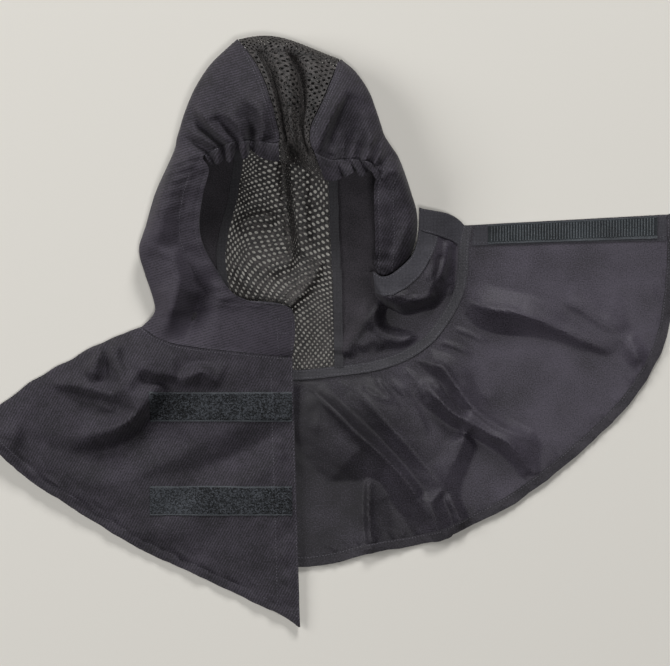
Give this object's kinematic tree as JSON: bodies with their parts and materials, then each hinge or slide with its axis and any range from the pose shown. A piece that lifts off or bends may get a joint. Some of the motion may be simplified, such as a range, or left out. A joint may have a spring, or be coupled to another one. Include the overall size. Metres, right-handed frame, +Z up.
{
  "type": "welding cape",
  "caption": "Dark twill welding hood with a shoulder cape: mesh crown panel, gathered brow casings, and a front that hook and loop strips close, lying with one front laid open.",
  "frame": {"origin": "middle of the lying garment's bounding box, on the ground", "axes": "+X across the cape toward the front edge that is laid open, +Y toward the crown, +Z up out of the face opening"},
  "size_m": [0.6996, 0.5906, 0.0637],
  "materials": {
    "twill": "matte twill, outer face",
    "twill_inside": "smooth back of the twill",
    "net": "open knitted mesh, matte",
    "tape": "woven tape, matte",
    "loop": "dense loop pile",
    "hook": "moulded hooks on a woven band"
  },
  "bodies": {
    "root": {"cape": "twill", "neck_tape": "tape", "hem_fold": "twill_inside", "front_facing_left": "twill_inside", "front_facing_right": "twill_inside", "hook_strip": "hook", "loop_strip_upper": "loop", "loop_strip_lower": "loop", "hood_panel_left": "twill", "face_facing_left": "twill_inside", "hood_panel_right": "twill", "face_facing_right": "twill_inside", "chin_facing_right": "twill_inside", "mesh_panel": "net", "seam_tape_left": "tape", "seam_tape_right": "tape", "brow_casing_left": "twill", "brow_casing_right": "twill"}
  },
  "joints": []
}
